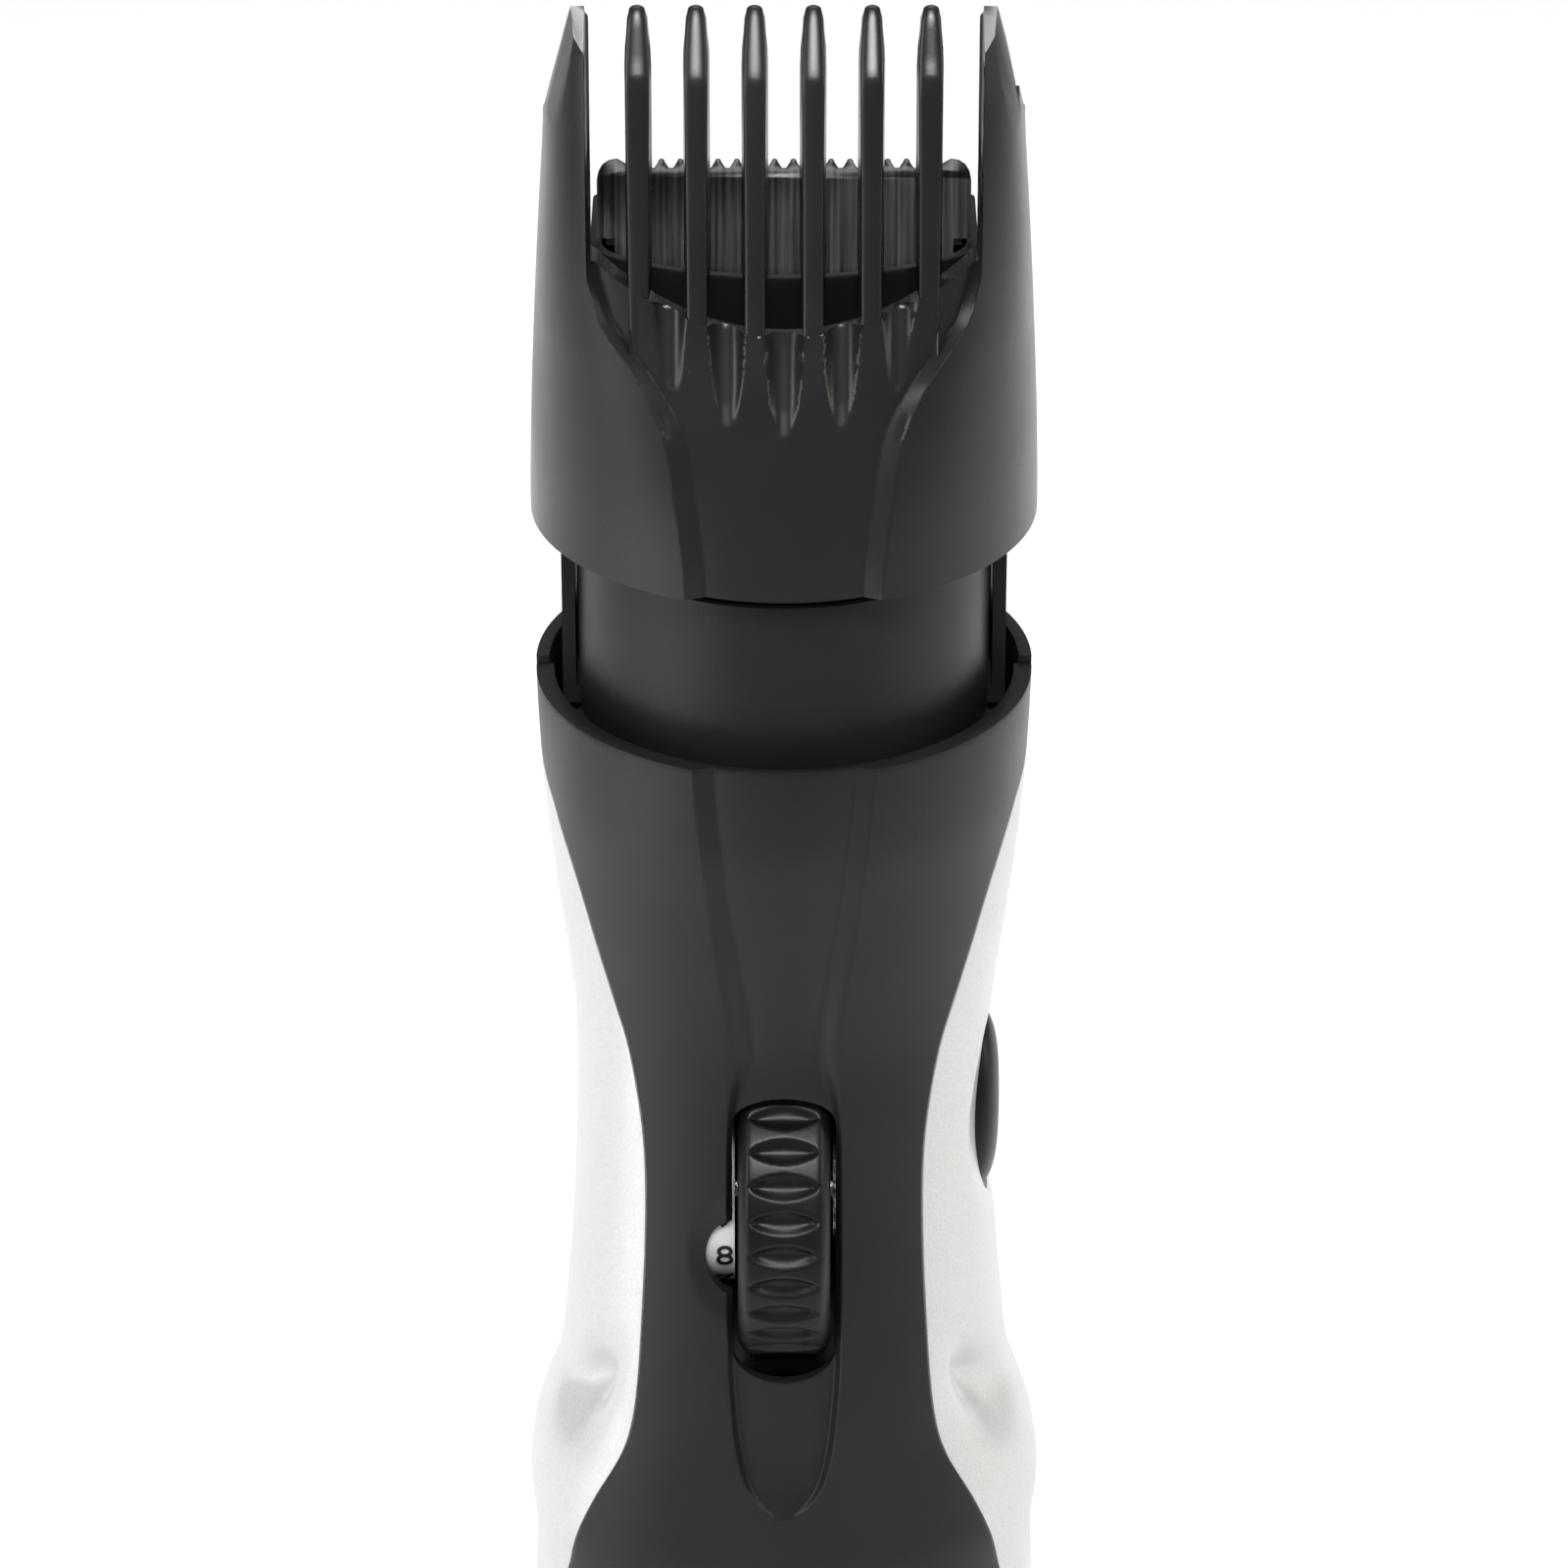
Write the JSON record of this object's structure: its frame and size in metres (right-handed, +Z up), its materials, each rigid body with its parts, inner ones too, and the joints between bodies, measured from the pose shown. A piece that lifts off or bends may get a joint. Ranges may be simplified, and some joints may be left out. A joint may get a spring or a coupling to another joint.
{
  "type": "hair clipper",
  "caption": "Cordless beard and hair clipper with a sliding guide comb set by a thumb wheel, a pressing power button and a reciprocating blade.",
  "frame": {"origin": "centre of the base, on the surface it stands on", "axes": "+Z up the handle towards the comb, -Y is the front with the thumb wheel, +X is the side with the power button"},
  "size_m": [0.045, 0.0416, 0.1856],
  "materials": {
    "black_shell": "satin moulded black",
    "comb_plastic": "semi-gloss black",
    "soft_black": "matte soft-touch",
    "silver_panel": "pearl silver-white paint",
    "white_plastic": "satin",
    "blade_steel": "dark brushed",
    "steel": "bright",
    "contact_brass": "plated",
    "board": "solder mask",
    "cell_jacket": "shrink sleeve",
    "frame_grey": "satin"
  },
  "bodies": {
    "handle": {"front_housing": "black_shell", "rear_housing": "black_shell", "left_side_panel": "silver_panel", "right_side_panel": "silver_panel", "base_cap": "black_shell", "head_tube": "black_shell", "blade_holder": "black_shell", "head_cap": "black_shell", "fixed_blade": "blade_steel", "blade_spring": "steel", "chassis": "frame_grey", "motor_can": "steel", "motor_end_cap": "white_plastic", "motor_terminal_front": "contact_brass", "motor_terminal_rear": "contact_brass", "dust_seal": "soft_black", "battery_left": "cell_jacket", "battery_right": "cell_jacket", "battery_link": "contact_brass", "battery_contact_left": "contact_brass", "battery_contact_right": "contact_brass", "circuit_board": "board", "switch_body": "white_plastic", "charging_socket": "black_shell", "socket_pin_left": "contact_brass", "socket_pin_right": "contact_brass", "wheel_axle": "steel", "detent_spring": "steel", "base_screw_left": "steel", "base_screw_right": "steel"},
    "wheel": {"thumb_wheel": "soft_black", "number_drum": "white_plastic", "pinion_gear": "white_plastic"},
    "carriage": {"comb_carriage": "black_shell"},
    "comb": {"guide_comb": "comb_plastic"},
    "button": {"power_button": "soft_black"},
    "cutter": {"moving_blade": "steel", "blade_follower": "white_plastic"},
    "rotor": {"motor_shaft": "steel", "eccentric_cam": "white_plastic"}
  },
  "joints": [
    {"name": "wheel_turn", "type": "hinge", "parent": "handle", "child": "wheel", "pos_m": [0, -0.0062, 0.0765], "axis": [1, 0, 0], "range_deg": [-210.5, 30.5]},
    {"name": "comb_slide", "type": "slide", "parent": "handle", "child": "carriage", "axis": [0, 0, 1], "range_m": [-0.014, 0.002]},
    {"name": "comb_release", "type": "slide", "parent": "carriage", "child": "comb", "axis": [0, 0, 1], "range_m": [0, 0.055]},
    {"name": "button_press", "type": "slide", "parent": "handle", "child": "button", "axis": [-1, 0, 0], "range_m": [0, 0.001], "stiffness_N_per_m": 350},
    {"name": "blade_stroke", "type": "slide", "parent": "handle", "child": "cutter", "axis": [1, 0, 0], "range_m": [-0.0012, 0.0012]},
    {"name": "motor_spin", "type": "hinge", "parent": "handle", "child": "rotor", "pos_m": [0, 0, 0.13], "axis": [0, 0, 1], "continuous": true}
  ],
  "couplings": [
    {"joint": "wheel_turn", "follows": "comb_slide", "rad_per_m": 261.8}
  ]
}
